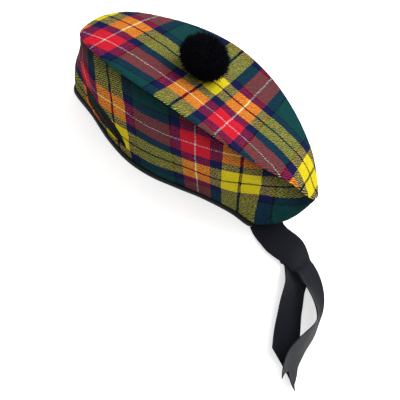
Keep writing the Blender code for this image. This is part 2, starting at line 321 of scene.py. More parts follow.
def operator(operation, reflected=False):
    """A method that adds a Math node. Reflected, as in 1 - mask, the other value comes first."""
    def method(self, other):
        values = (other, self) if reflected else (self, other)
        return self.math(operation, *values)
    return method


class Value:
    """A node's output. An operator on it adds the Math node of that operation."""

    __add__ = __radd__ = operator("ADD")
    __sub__, __rsub__ = operator("SUBTRACT"), operator("SUBTRACT", reflected=True)
    __mul__ = __rmul__ = operator("MULTIPLY")
    __truediv__, __pow__ = operator("DIVIDE"), operator("POWER")
    __gt__, __lt__ = operator("GREATER_THAN"), operator("LESS_THAN")

    def __init__(self, finish, socket):
        self.finish = finish
        self.socket = socket

    def math(self, operation, first, second=0.0):
        return self.finish.node("ShaderNodeMath", {"operation": operation},
                                {0: first, 1: second})

    def fraction(self):
        return self.math("FRACT", self)

    def size(self):
        return self.math("ABSOLUTE", self)

    def ridges(self, spacing):
        """Sine waves of that spacing, from 0 to 1."""
        return self.math("SINE", self * (2 * math.pi / spacing)) * 0.5 + 0.5

    def held(self, low, high):
        return self.math("MINIMUM", self.math("MAXIMUM", self, low), high)


class Finish:
    """A material, and the one method that adds a node to it."""

    def __init__(self, name, **constants):
        self.material = bpy.data.materials.new(name)
        self.material.use_nodes = True
        self.tree = self.material.node_tree
        self.shader = self.tree.nodes["Principled BSDF"]
        self.feed({word.replace("_", " "): value for word, value in constants.items()})

    def node(self, kind, settings=None, inputs=None, output=0):
        """Adds a node: its settings come first, then the values or links of its sockets."""
        made = self.tree.nodes.new(kind)
        settings = dict(settings or {})
        stops = settings.pop("stops", None)
        for name, value in settings.items():
            setattr(made, name, value)
        if stops:
            made.color_ramp.interpolation = "CONSTANT"
            elements = made.color_ramp.elements
            for _ in stops[2:]:
                elements.new(0.5)
            for element, (place, colour) in zip(elements, stops):
                element.position = place
                element.color = colour
        self.fill(made, inputs or {})
        return Value(self, made.outputs[output])

    def fill(self, node, inputs):
        for key, value in inputs.items():
            if isinstance(value, Value):
                self.tree.links.new(value.socket, node.inputs[key])
            else:
                node.inputs[key].default_value = value

    def feed(self, inputs):
        self.fill(self.shader, inputs)

    def mix(self, share, first, second, blend="MIX"):
        """A colour between two, by a share; MULTIPLY and others are blend types."""
        settings = {"data_type": "RGBA", "blend_type": blend, "clamp_factor": True}
        return self.node("ShaderNodeMix", settings, {0: share, 6: first, 7: second}, output=2)

    def grey(self, value):
        return self.node("ShaderNodeCombineColor", inputs={0: value, 1: value, 2: value})

    def paleness(self, colour):
        """Seven tenths of a colour's strongest channel and three of its grey value."""
        strongest = self.node("ShaderNodeSeparateColor", {"mode": "HSV"}, {0: colour}, output=2)
        return strongest * 0.7 + self.node("ShaderNodeRGBToBW", inputs={0: colour}) * 0.3

    def place_on(self, uv_map):
        """The two coordinates of this point on a UV map. "cloth" is the flat cloth in metres."""
        place = self.node("ShaderNodeUVMap", {"uv_map": uv_map})
        first = self.node("ShaderNodeSeparateXYZ", inputs={0: place})
        return first, Value(self, first.socket.node.outputs[1])

    def noise_at(self, place, scale, detail):
        return self.node("ShaderNodeTexNoise", inputs={"Vector": place, "Scale": scale,
                                                       "Detail": detail})

    def noise(self, x, y, detail=2.0):
        """Noise over two values, which are multiplied by how often it changes."""
        return self.noise_at(self.node("ShaderNodeCombineXYZ", inputs={0: x, 1: y}), 1.0, detail)

    def noise_on_object(self, scale, detail):
        """Noise on Object coordinates, for a piece that has no flat cloth."""
        return self.noise_at(self.node("ShaderNodeTexCoord", output=3), scale, detail)

    def bump(self, height, distance):
        self.feed({"Normal": self.node("ShaderNodeBump", inputs={
            "Height": height, "Distance": distance, "Strength": BUMP_STRENGTH})})


def srgb(red, green, blue):
    """A colour from screen values of 0 to 255."""
    share = np.array([red, green, blue]) / 255
    linear = np.where(share > 0.04045, ((share + 0.055) / 1.055) ** 2.4, share / 12.92)
    return (*linear.tolist(), 1.0)


print("a screen grey of 128 is", round(srgb(128, 128, 128)[0], 3), "of full light")

# %% [markdown]
# ## Tartan
# Tartan is one list of stripes, the sett, used for the warp and for the weft. Where both threads
# have one colour it is full and bright, and where they differ a 2/2 twill lets half of each show,
# which the eye mixes: red over navy looks maroon, yellow over red looks orange. So the pattern is
# two stripe ramps on the flat cloth's two directions, and a fine diagonal mask between them. The
# walls stand in soft shade under the crown's edge, and this shade is painted into their colour:
# their tone comes from a second UV map that darkens the whole wall, most under the crown's edge.

# %% The sett
THREADS = {
    "white": srgb(240, 232, 226),
    "red": srgb(208, 34, 52),
    "navy": srgb(24, 30, 72),
    "yellow": srgb(226, 206, 34),
    "ink": srgb(14, 14, 34),
    "black": srgb(6, 7, 12),
    "green": srgb(20, 66, 66),
}
SETT = (
    ("white", 0.0010), ("red", 0.0133), ("navy", 0.01195), ("yellow", 0.01490),
    ("ink", 0.0027), ("yellow", 0.01490), ("navy", 0.0098), ("black", 0.0015),
    ("green", 0.03935), ("black", 0.0015), ("navy", 0.0098), ("red", 0.0133),
    ("white", 0.0010),
)
SETT_REPEAT = sum(width for _, width in SETT)
HALF_SETT = 0.0425
ends = np.cumsum([0.0] + [width for _, width in SETT])[:-1] / SETT_REPEAT
SETT_STOPS = [(float(place), THREADS[name]) for place, (name, _) in zip(ends, SETT)]
print("the sett repeats every", round(SETT_REPEAT * 1000, 1), "mm")

# %% The tartan finish
TWILL = 0.0023
THREAD = TWILL / 5
TWILL_JITTER = 1.4
TWILL_SHARPNESS = 6
STRIPE_WANDER = 0.0016
SINK_SHARE = 0.4
SINK_MOST = 0.125
THREAD_TONE, THREAD_TONE_SPAN = 0.55, 0.9
BLOTCH_TONE, BLOTCH_TONE_SPAN = 0.75, 0.5
FUZZ = 1.4
TARTAN_RELIEF = 0.00022


def make_tartan(name, depth=None):
    """Stripes by warp and by weft, mixed by a diagonal twill mask, with uneven thread. The
    paler thread of a crossing sinks between the darker ones, so it covers less than half.
    A depth multiplies the colour as painted shade, 1.0 on the crown; without a depth the painted
    shade comes from the shade map."""
    made = Finish(name, Roughness=0.95, Specular_IOR_Level=0.03)
    across, along = made.place_on("cloth")
    wander = (made.noise(across * 90, along * 90, 1.0) - 0.5) * STRIPE_WANDER

    def stripes(run):
        return made.node("ShaderNodeValToRGB", {"stops": SETT_STOPS},
                         {0: ((run + wander) / SETT_REPEAT).fraction()})

    warp, weft = stripes(across), stripes(along)
    jitter = made.noise(across * 430, along * 430, 1.0) * TWILL_JITTER
    diagonal = ((across + along) / TWILL + jitter).fraction() - 0.5
    sink = (made.paleness(warp) - made.paleness(weft)) * SINK_SHARE
    sink = sink.held(-SINK_MOST, SINK_MOST)
    over = ((diagonal.size() - 0.25 - sink) * TWILL_SHARPNESS + 0.5).held(0.0, 1.0)
    warp_tone = made.noise(across * 1900, along * 160) * THREAD_TONE_SPAN + THREAD_TONE
    weft_tone = made.noise(across * 160, along * 1900) * THREAD_TONE_SPAN + THREAD_TONE
    blotch_and_painted_shade = made.noise(across * 260, along * 260, 4.0) * BLOTCH_TONE_SPAN + BLOTCH_TONE
    # On the walls the colour is multiplied by the painted shade from the shade map.
    blotch_and_painted_shade = blotch_and_painted_shade * (made.place_on("shade")[0] if depth is None else depth)
    colour = made.mix(over, weft, warp)
    tone_and_painted_shade = made.mix(over, made.grey(weft_tone * blotch_and_painted_shade), made.grey(warp_tone * blotch_and_painted_shade))
    made.feed({"Base Color": made.mix(1.0, colour, tone_and_painted_shade, "MULTIPLY")})
    ridge = over * across.ridges(THREAD) + (1 - over) * along.ridges(THREAD)
    fuzz = made.noise(across * 900, along * 900, 3.0) * FUZZ
    made.bump(ridge + fuzz, TARTAN_RELIEF)
    return made.material


CROWN_TARTAN = make_tartan("wool_tartan_crown", 1.0)
# The walls' copy carries painted shade: its colour is darkened by the shade map.
WALL_TARTAN_PAINTED_SHADE = make_tartan("wool_tartan_wall_painted_shade")
print("tartan nodes:", len(CROWN_TARTAN.node_tree.nodes))

# %% [markdown]
# ## Ribbon
# The binding, the cockade and the tails are one black grosgrain ribbon. Grosgrain has fine ribs
# across its width and a firm selvedge at each edge. Ribs catch the light in rows, so the finish
# is nearly black, with a soft satin gloss, ribs painted a little paler as a painted highlight,
# and a bump for the ribs.

# %% The ribbon finish
RIB = 0.0011
RIB_FULLNESS = 0.7
SELVEDGE = 0.0012
SELVEDGE_RISE = 0.9
STITCH_EVERY = 0.0030
STITCH_SHARE = 0.62
STITCH_HALF_WIDTH = 0.0004
STITCH_RISE = 1.2
STITCH_COLOUR = srgb(16, 17, 22)
RIBBON_RELIEF = 0.00028


def make_ribbon(name, half_width, gloss, dark, pale, stitches_at=None):
    """Ribs across the ribbon, a selvedge at the half width and, where told, stitches."""
    made = Finish(name, Specular_IOR_Level=gloss)
    along, across = made.place_on("cloth")
    rib = along.ridges(RIB) ** RIB_FULLNESS
    thread = made.noise(along * 500, across * 2600)
    cloud = made.noise(along * 40, across * 70, 3.0)
    selvedge = across.size() > half_width - SELVEDGE
    # Painted highlight: the ribs are painted paler; thread and cloud are the ribbon's own uneven
    # tone.
    paleness = rib * 0.35 + thread * 0.5 + cloud * 0.5
    colour = made.mix(paleness.held(0.0, 1.0), dark, pale)
    height = rib * (1 - selvedge) + selvedge * SELVEDGE_RISE + thread * 0.3
    if stitches_at is not None:
        on_row = (across - stitches_at).size() < STITCH_HALF_WIDTH
        stitch = on_row * ((along / STITCH_EVERY).fraction() < STITCH_SHARE)
        colour = made.mix(stitch, colour, STITCH_COLOUR)
        height = height + stitch * STITCH_RISE
    made.feed({"Base Color": colour, "Roughness": 0.42 + thread * 0.22 + cloud * 0.12})
    made.bump(height, RIBBON_RELIEF)
    return made.material


TAIL_WIDTH = 0.034
STITCHES_BELOW_EDGE = 0.0018
PAST_THE_COCKADE = 0.03
RIBBON_FINISH = make_ribbon("grosgrain", TAIL_WIDTH / 2, 0.14, srgb(3, 5, 10), srgb(19, 23, 33))
BINDING_FINISH = make_ribbon("grosgrain_binding", BINDING_HEIGHT, 0.08, srgb(4, 6, 9),
                             srgb(18, 20, 26), BINDING_HEIGHT - STITCHES_BELOW_EDGE)
# The cockade's ribbon is blacker than the tails: partly its own black, partly painted shade of its
# recess behind the hems.
COCKADE_FINISH_PAINTED_SHADE = make_ribbon("grosgrain_cockade_painted_shade", PAST_THE_COCKADE, 0.02, srgb(2, 2, 4),
                             srgb(7, 8, 11))
print("ribs in 100 mm of ribbon:", round(0.1 / RIB))

# %% [markdown]
# ## Crown
# The crown is one leaf of tartan, slightly dished along its middle and highest just behind the
# toorie. It is sewn to the walls inside out, so its edge rolls down over the seam. The surface is
# spanned across from edge to edge by a parabola, and the rolled edge is a quarter circle measured
# from the outline, which works at the two tips as well as at the sides.

# %% Crown cloth
EDGE_ROLL = 0.0032
CROWN_ROWS = 190
CROWN_COLUMNS = 81
CROWN_CROWDING = 0.94
CROWN_THICKNESS = CLOTH * 0.8
CROWN_TARTAN_FRONT = 0.0378
CROWN_SWELLS = ((0.075, 0.0011, 3), (0.024, 0.00035, 5))
CROWN_CALM = 0.012
CROWN_PUCKERS = (0.009, 0.0055, 8)


def crown_grid():
    """Height is the edge's height less the dish times (1 - v squared), v the share across, with
    swells and puckers, less the rolled edge. The flat cloth runs along the middle line and by
    arc length across it."""
    station = even_stations(edge, CROWN_ROWS)
    v = crowded(np.linspace(-1, 1, CROWN_COLUMNS), CROWN_CROWDING)
    line, sag = at(edge, station), at(dish, station)
    x = line[:, :1] * v
    y = np.repeat(line[:, 1:2], len(v), axis=1)
    z = line[:, 2:3] - sag * (1 - v**2)
    outline = np.vstack([edge[::4, :2], (edge[::4, :2] * (-1, 1))[::-1]])
    inside = distance_to(np.stack([x, y], axis=-1), outline)
    swell = swells(x, y, CROWN_SWELLS, np.clip(inside / CROWN_CALM, 0, 1))
    pucker = puckers(y, x, y, inside, *CROWN_PUCKERS)
    grid = np.stack([x, y, z + swell + pucker - roll(inside, EDGE_ROLL)], axis=-1)
    middle = np.stack([0 * y[:, 0], y[:, 0], z[:, CROWN_COLUMNS // 2]], axis=-1)
    run = lengths_along(middle) + (y[0, 0] - front)
    arc = np.cumsum(np.hypot(np.diff(x, axis=1), np.diff(z, axis=1)), axis=1)
    arc = np.hstack([0 * arc[:, :1], arc])
    arc -= arc[:, CROWN_COLUMNS // 2, None]
    flat = np.stack([(CROWN_TARTAN_FRONT - run)[:, None] + 0 * arc, HALF_SETT - arc], axis=-1)
    return grid, flat


grid, flat = crown_grid()
piece(surface("crown_cloth", grid[:, ::-1], flat[:, ::-1]), CROWN_TARTAN, "crown",
      CROWN_THICKNESS)

# %% [markdown]
# ## Side walls
# Each wall is a straight-ruled sheet between rim and crown edge, so it can be unrolled with next
# to no stretch. That flat shape is what the cutter laid on the tartan, so unrolling gives the
# pattern its true run: it tilts towards the tips, as on a real cap.

# %% The wall unrolled
# The places on the tartan are cubics, with their lowest power first.
CLOTH_RUN = (0.121, 0.105, -0.005, -0.013)
CLOTH_RUN_BY_HEIGHT = 0.09
CLOTH_RISE = (0.0695, -0.0035, 0.005, 0.007)
CLOTH_RISE_BY_HEIGHT = (-0.956, 0.2)
CLOTH_MIDDLE = 0.180
CLOTH_UNIT = 0.1
CLOTH_EASED = (-1.1, 1.25)

along_rim = np.gradient(rim, axis=0)
along_rim[0], along_rim[-1] = (1, 0, 0), (-1, 0, 0)
rise = unit(edge - rim)
outward = unit(np.cross(unit(along_rim), rise))


def unrolled(low, high):
    """The strip between two lines laid flat: each rung keeps its length and each rail step its
    length and its angles to the rungs, and the headings add up along the strip."""
    step, rung = np.diff(low, axis=0), high - low

    def angle(a, b):
        return np.arccos(np.clip(np.sum(unit(a) * unit(b), axis=1), -1, 1))

    before, after = angle(rung[:-1], step), angle(rung[1:], step)
    heading = np.pi / 2 + np.concatenate([[0.0], np.cumsum(after - before)])
    rail = np.linalg.norm(step, axis=1) * np.exp(1j * (heading[:-1] - before))
    foot = np.concatenate([[0.0], np.cumsum(rail)])
    top = foot + np.linalg.norm(rung, axis=1) * np.exp(1j * heading)
    return np.stack([foot.real, foot.imag], axis=-1), np.stack([top.real, top.imag], axis=-1)


flat_rim, flat_edge = unrolled(rim, edge)
print("flat wall from", flat_edge[0].round(3), "to", flat_rim[-1].round(3), flat_edge[-1].round(3))


def tartan_at(x, y):
    """The tartan under a point of the flat wall. Steam and stitches ease the cloth, so both
    places are cubics of the run u in tenths of a metre, straight on beyond the eased stretch,
    and each also changes with the height y."""
    u = (x - CLOTH_MIDDLE) / CLOTH_UNIT
    eased = np.clip(u, *CLOTH_EASED)
    across = np.polyval(CLOTH_RUN[::-1], eased) + CLOTH_UNIT * (u - eased)
    along = np.polyval(CLOTH_RISE[::-1], eased) + np.polyval(CLOTH_RISE_BY_HEIGHT[::-1], eased) * y
    return np.stack([across + CLOTH_RUN_BY_HEIGHT * y, along], axis=-1)


def wall_at(station, share, inward):
    """The ruled wall at a share of its height, with a slight bulge half way up."""
    out = unit(at(outward, station))[:, None]
    swell = at(bulge, station) * np.sin(np.pi * np.clip(share, 0, 1))
    return between(rim, edge, station, share) + out * (swell - inward)[..., None]


# %% [markdown]
# ## The leaf-shaped opening
# Low on its left side the wall is open in the shape of a leaf, where the cockade shows. A boolean
# cut would leave ragged cells, so the wall's rows are bent round the leaf instead: some pass
# below it, some run beside it and are left out, and the rest pass above.

# %% The leaf
# A row: share of the leaf's length, height of its middle and half width, as shares of the sizes.
COCKADE_ROWS = (
    (0.00, 0.80, 0.60),
    (0.12, 0.90, 0.85),
    (0.30, 1.00, 1.00),
    (0.55, 1.03, 0.93),
    (0.78, 0.95, 0.75),
    (0.92, 0.80, 0.48),
    (1.00, 0.66, 0.18),
)
COCKADE_LENGTH = 0.066
COCKADE_WIDTH = 0.032
COCKADE_HEIGHT = 0.032
COCKADE_FROM_FRONT = 0.036
LEAF_FRONT = rim[0, 1] + COCKADE_FROM_FRONT
LEAF_BLUNT = 0.45
LEAF_ROUNDING = 0.07
LEAF_POINTS = 120


def leaf(share_along):
    """The lower and upper height of the cockade's leaf, its front end rounded off."""
    rows = smooth_rows([COCKADE_ROWS[0], *COCKADE_ROWS, COCKADE_ROWS[-1]], 12)
    middle = np.interp(share_along, rows[:, 0], rows[:, 1]) * COCKADE_HEIGHT
    half = np.interp(share_along, rows[:, 0], rows[:, 2]) * COCKADE_WIDTH / 2
    near = np.clip(1 - share_along / LEAF_ROUNDING, 0, 1)
    half = half * (LEAF_BLUNT + (1 - LEAF_BLUNT) * np.sqrt(1 - near**2))
    return middle - half, middle + half


def leaf_station(share_along):
    """The rim's station beside each share of the leaf's length."""
    return np.interp(LEAF_FRONT + share_along * COCKADE_LENGTH, rim[:, 1], np.arange(len(rim)))


def leaf_outline():
    """The leaf's outline on the flat wall, once round."""
    share_along = np.linspace(0, 1, LEAF_POINTS)
    station = leaf_station(share_along)
    heights = np.stack(leaf(share_along), axis=1)
    both = between(flat_rim, flat_edge, station, heights / at(edge, station)[:, 2:3])
    return np.vstack([both[:, 0], both[::-1, 1], both[:1, 0]])


print("leaf's outline", lengths_along(leaf_outline())[-1].round(4), "round")

# %% Wall cloth
SEAM_ROLL = 0.0024
SEAM_GAP = 0.0003
HEM_ROLL = 0.0012
WALL_STATIONS = 190
NEAR_SEAM, LEAST_STEP = 0.4, 0.05  # in stations
WALL_BELOW_EDGE = 0.0031
BELOW, BESIDE, ABOVE = 12, 12, 46
WALL_CROWDING = 0.93
WALL_THICKNESS = 0.0018
WALL_SWELLS = ((0.070, 0.0010, 11), (0.028, 0.0003, 13))
WALL_PUCKERS = (0.0095, 0.005, 17)
# Painted shade: the walls' colour is darkened to this share of the crown's all over.
WALL_PAINTED_SHADE = 0.60
# Painted shadow under the crown's edge: the darkest share, and how far below the edge it reaches.
SEAM_PAINTED_SHADOW = 0.26
SEAM_SHADOW_REACH = 0.016
SLACK = 1e-6


def wall_stations():
    """Even stations, with one more at each end of the leaf and one near each seam."""
    last = len(rim) - 1.0
    leaf_ends = leaf_station(np.array([0.0, 1.0]))
    station = np.unique(np.concatenate([
        [NEAR_SEAM], even_stations(edge, WALL_STATIONS), leaf_ends, [last - NEAR_SEAM]]))
    return station[np.concatenate([[True], np.diff(station) > LEAST_STEP])]


def wall_shares(share_along, height, top):
    """Each station's rows, as shares of its height: some below the leaf, some beside it and the
    rest above, drawn together towards the crown's edge."""
    low, high = leaf(np.clip(share_along, 0, 1))
    foot, low, high = (RIBBON + BINDING_EASE) / height, low / height, high / height
    above = crowded(np.linspace(0, 1, ABOVE + 1)[1:], WALL_CROWDING)
    return np.hstack([
        foot[:, None] + (low - foot)[:, None] * np.linspace(0, 1, BELOW + 1)[:-1],
        low[:, None] + (high - low)[:, None] * np.linspace(0, 1, BESIDE + 1),
        high[:, None] + (top - high)[:, None] * above,
    ])


def wall_grid(open_leaf):
    """The wall's points, their place on the tartan, the cells of the opening and the painted
    shade.
    Rolled edges turn in at the crown, at both seams and round the leaf. The wall meets the
    other wall at both seams, and its painted shade is darkest under the crown's edge, where the
    crown shades it."""
    station = wall_stations()
    height = at(edge, station)[:, 2]
    share_along = (at(rim, station)[:, 1] - LEAF_FRONT) / COCKADE_LENGTH
    top = 1 - WALL_BELOW_EDGE / height
    share = wall_shares(share_along, height, top)
    flat = between(flat_rim, flat_edge, station, share)
    x, y = flat[..., 0], flat[..., 1]
    below_top = (top[:, None] - share) * height[:, None]
    inward = roll(below_top, SEAM_ROLL)
    for end in (0, -1):
        seam = np.stack([flat_rim[end], flat_edge[end]])
        inward += roll(distance_to(flat, seam), SEAM_ROLL)
    calm = np.clip(np.sin(np.pi * np.clip(share, 0, 1)), 0, 1)
    inward -= swells(x, y, WALL_SWELLS, calm)
    inward += puckers(x, x, y, below_top, *WALL_PUCKERS)
    opening = None
    if open_leaf:
        inward += roll(distance_to(flat, leaf_outline()), HEM_ROLL)
        within = (share_along >= -SLACK) & (share_along <= 1 + SLACK)
        row = np.arange(share.shape[1] - 1)
        opening = (within[:-1] & within[1:])[:, None] & (row >= BELOW) & (row < BELOW + BESIDE)
    grid = wall_at(station, share, inward)
    grid[..., 0] = np.maximum(grid[..., 0], SEAM_GAP)
    grid[[0, -1], :, 0] = 0.0
    # Painted shade: the whole wall darker, and a painted shadow just under the crown's edge.
    tone_and_painted_shade = WALL_PAINTED_SHADE - (WALL_PAINTED_SHADE - SEAM_PAINTED_SHADOW) * np.exp(-((below_top / SEAM_SHADOW_REACH) ** 2))
    return grid, tartan_at(x, y), opening, np.stack([tone_and_painted_shade, tone_and_painted_shade], axis=-1)


piece(surface("left_side_cloth", *wall_grid(True)), WALL_TARTAN_PAINTED_SHADE, "left_side",
      WALL_THICKNESS)
grid, flat, _, tone_and_painted_shade = wall_grid(False)
grid = (grid * (-1, 1, 1))[:, ::-1]
piece(surface("right_side_cloth", grid, flat[:, ::-1], shade=tone_and_painted_shade[:, ::-1]), WALL_TARTAN_PAINTED_SHADE,
      "right_side", WALL_THICKNESS)

# %% [markdown]
# ## Cockade
# The cockade is a strip of the same ribbon, tucked behind the leaf-shaped opening, so only its
# middle shows. It swells a little between the two rolled hems and its folds run lengthwise. As
# it follows the wall's own surface, it fits behind the opening on all sides.

# %% Cockade ribbon
COCKADE_STATIONS = 90
COCKADE_COLUMNS = 41
COCKADE_PAST_LEAF = 0.045
COCKADE_UNDER_HEM = 0.003
COCKADE_TUCK = 0.0032
COCKADE_SWELL = 0.0024
COCKADE_FULL_HALF = 0.010
COCKADE_FOLD = 0.0003
COCKADE_THICKNESS = RIBBON * 0.7


def cockade_grid():
    """The wall's own surface behind the leaf, domed outwards by (1 - v to the fourth), v the
    share across, with small lengthwise folds."""
    share_along = np.linspace(-COCKADE_PAST_LEAF, 1 + COCKADE_PAST_LEAF, COCKADE_STATIONS)
    station = leaf_station(share_along)
    low, high = leaf(np.clip(share_along, 0, 1))
    middle, half = (low + high) / 2, (high - low) / 2 + COCKADE_UNDER_HEM
    v = np.linspace(-1, 1, COCKADE_COLUMNS)
    up = middle[:, None] + half[:, None] * v
    fullness = np.clip(half[:, None] / COCKADE_FULL_HALF, 0.3, 1)
    dome = (1 - v**4) * fullness * COCKADE_SWELL
    folds = COCKADE_FOLD * np.sin(v * 9 + share_along[:, None] * 5)
    share = up / at(edge, station)[:, 2:3]
    grid = wall_at(station, share, COCKADE_TUCK - dome - folds)
    run = lengths_along(at(rim, station))
    flat = np.stack([run[:, None] + 0 * up, up - middle[:, None]], axis=-1)
    return grid, flat


piece(surface("cockade_ribbon", *cockade_grid()), COCKADE_FINISH_PAINTED_SHADE, "cockade",
      COCKADE_THICKNESS)

# %% [markdown]
# ## Binding
# A ribbon is folded in half over the raw rim and stitched through. Its section is a narrow U with
# a soft fold at the floor. The section is a short profile of points, out from the wall and up
# from the floor, carried round the whole rim, and its flat place runs along the rim and over the
# fold.

# %% Binding ribbon
BINDING_PINCHED = 0.0010
BINDING_BULGE_HEIGHT = 0.005
BINDING_CORNER = 0.0011
BINDING_CORNER_STEPS = 5
BINDING_STATIONS = 230
BINDING_SHAKE = (0.05, 0.0004, 21)
BINDING_RIPPLE = (0.018, 0.00022, 23)
BINDING_THICKNESS = RIBBON * 0.7


def rounded(points, radius, steps):
    """A profile whose inner corners are rounded off by quadratic curves."""
    points = np.asarray(points, float)
    made = [points[:1]]
    for before, corner, after in zip(points[:-2], points[1:-1], points[2:]):
        start = corner + unit(before - corner) * radius
        end = corner + unit(after - corner) * radius
        t = np.linspace(0, 1, steps)[:, None]
        made.append(start * (1 - t) ** 2 + 2 * corner * t * (1 - t) + end * t**2)
    return np.vstack(made + [points[-1:]])


def binding_grid():
    """The profile carried round the rim: out by the horizontal normal and up the wall. Its
    upper edges shake and ripple a little, the more the higher they are."""
    shell = BINDING_EASE + RIBBON
    profile = rounded([
        (BINDING_PINCHED, BINDING_HEIGHT), (shell, BINDING_BULGE_HEIGHT), (shell, 0.0),
        (-CLOTH - shell, 0.0), (-CLOTH - BINDING_PINCHED, BINDING_HEIGHT),
    ], BINDING_CORNER, BINDING_CORNER_STEPS)
    station = np.concatenate([[0.0], even_stations(rim, BINDING_STATIONS), [len(rim) - 1.0]])
    out = unit(unit(at(outward, station)) * (1, 1, 0))
    run = lengths_along(at(rim, station))
    lift = np.clip(profile[:, 1] / BINDING_HEIGHT, 0, 1) ** 3
    shake, ripple = (swells(run[:, None], 0 * run[:, None], [band], lift)
                     for band in (BINDING_SHAKE, BINDING_RIPPLE))
    share = (profile[None, :, 1] + shake) / at(edge, station)[:, 2:3]
    half = between(rim, edge, station, share)
    swell = at(bulge, station) * np.sin(np.pi * share)
    half += out[:, None] * (profile[None, :, 0] + ripple + swell)[..., None]
    across = lengths_along(profile)
    across = across - across[-1] / 2
    flat = np.stack(np.broadcast_arrays(run[:, None], across[None]), axis=-1)
    other = half[::-1] * (-1, 1, 1)
    back = flat[::-1] * (-1, 1) + (2 * run[-1], 0)
    return np.vstack([half, other[1:]]), np.vstack([flat, back[1:]])


grid, flat = binding_grid()
piece(surface("binding_ribbon", grid[:, ::-1], flat[:, ::-1]), BINDING_FINISH, "edge_binding",
      BINDING_THICKNESS)

# %% [markdown]
# ## Toorie
# The toorie is a pompom of clipped wool: hundreds of yarn ends that stand out from a knot and
# fray. A plain ball looks like rubber, so a lumpy head gives the body, and thousands of short
# tapering strands give the fuzzy outline. All strands are built in one go from arrays, as
# three-sided spikes with a bend, which costs few faces.

# %% Wool finish
WOOL_GRAIN = 900.0
WOOL_RELIEF = 0.0006


def make_wool():
    """Nearly black, paler by the tint that each vertex carries and by a fine grain. The tint holds
    painted light and shade: paler on the locks and towards the strands' tips, darker between the
    locks and at the strands' roots, with a random share for each strand.
    """
    made = Finish("black_wool", Roughness=0.95, Specular_IOR_Level=0.05)
    tint_and_painted_shade = made.node("ShaderNodeAttribute", {"attribute_name": "tint_and_painted_shade"}, output=2)
    fine = made.noise_on_object(WOOL_GRAIN, 3.0)
    paleness = (tint_and_painted_shade * 0.7 + fine * 0.4).held(0.0, 1.0)
    made.feed({"Base Color": made.mix(paleness, srgb(1, 1, 2), srgb(27, 29, 37))})
    made.bump(fine, WOOL_RELIEF)
    return made.material


WOOL = make_wool()
print("wool finish:", WOOL.name)

# %% The toorie's place and its lumps
TOORIE_WIDTH = 0.047
TOORIE_HEIGHT = 0.038
TOORIE_FROM_FRONT = 0.115
TOORIE_ASIDE = 0.006
TOORIE_SUNK = 0.04
TOORIE_LOCKS = 90
TOORIE_LOCK_ANGLE = 0.27
TOORIE_REACH = 0.82
TOORIE_LOCK_REACH = 0.09
TOORIE_PRESSED = 0.17
TOORIE_PRESSED_SIDE = np.array([0.69, -0.12, -0.71])
TOORIE_CLEARANCE = 0.0003


def crown_height(x, y):
    """The height of the plain crown: the edge's height less the dish's parabola."""
    half = np.maximum(np.interp(y, edge[:, 1], edge[:, 0]), CLOTH)
    sag = np.interp(y, edge[:, 1], dish)
    return np.interp(y, edge[:, 1], edge[:, 2]) - sag * (1 - (x / half) ** 2)


def above_crown(points):
    """Points in an array's last axis, lifted where they would sink into the crown."""
    lowest = crown_height(points[..., 0], points[..., 1]) + TOORIE_CLEARANCE
    points[..., 2] = np.maximum(points[..., 2], lowest)
    return points


def spread(count):
    """Directions spread evenly over a ball along a golden-angle spiral."""
    index = np.arange(count) + 0.5
    polar = np.arccos(1 - 2 * index / count)
    turn = np.pi * (1 + math.sqrt(5)) * index
    return np.stack([np.cos(turn) * np.sin(polar), np.sin(turn) * np.sin(polar), np.cos(polar)],
                    axis=-1)


def lumpy(directions):
    """The head's radius in each direction: less between the locks of wool than on them, and
    less on the side that is pressed in, by the square of the cosine to that side."""
    apart = np.arccos(np.clip(directions @ spread(TOORIE_LOCKS).T, -1, 1)).min(axis=1)
    lock = np.sqrt(np.clip(1 - (apart / TOORIE_LOCK_ANGLE) ** 2, 0, 1))
    pressed = np.clip(directions @ TOORIE_PRESSED_SIDE, 0, 1) ** 2 * TOORIE_PRESSED
    return (TOORIE_REACH + TOORIE_LOCK_REACH * lock) * (1 - pressed), lock


toorie_centre = np.array([TOORIE_ASIDE, front + TOORIE_FROM_FRONT, 0.0])
toorie_centre[2] = crown_height(*toorie_centre[:2]) + (0.5 - TOORIE_SUNK) * TOORIE_HEIGHT
toorie_half = np.array([TOORIE_WIDTH, TOORIE_WIDTH, TOORIE_HEIGHT]) / 2
print("toorie centred at", toorie_centre.round(4))

# %% Toorie head
HEAD_SUBDIVISIONS = 5
PAINTED_LIGHT_AT_HEAD = 0.35


def set_tint_and_painted_shade(mesh, tint_and_painted_shade):
    layer = mesh.attributes.new("tint_and_painted_shade", "FLOAT", "POINT")
    layer.data.foreach_set("value", tint_and_painted_shade.astype(np.float32))


def toorie_head():
    """A ball pushed out by its locks, flattened, and flat where it sits on the crown."""
    ball = bmesh.new()
    bmesh.ops.create_icosphere(ball, subdivisions=HEAD_SUBDIVISIONS, radius=1.0)
    directions = np.array([vertex.co for vertex in ball.verts])
    reach, lock = lumpy(directions)
    points = above_crown(toorie_centre + directions * toorie_half * reach[:, None])
    mesh = bpy.data.meshes.new("toorie_head")
    ball.to_mesh(mesh)
    ball.free()
    mesh.vertices.foreach_set("co", (points + SHIFT).ravel())
    # Painted light on the tops of the locks and painted shade between them.
    set_tint_and_painted_shade(mesh, lock * PAINTED_LIGHT_AT_HEAD)
    mesh.update()
    return mesh


piece(toorie_head(), WOOL, "toorie")

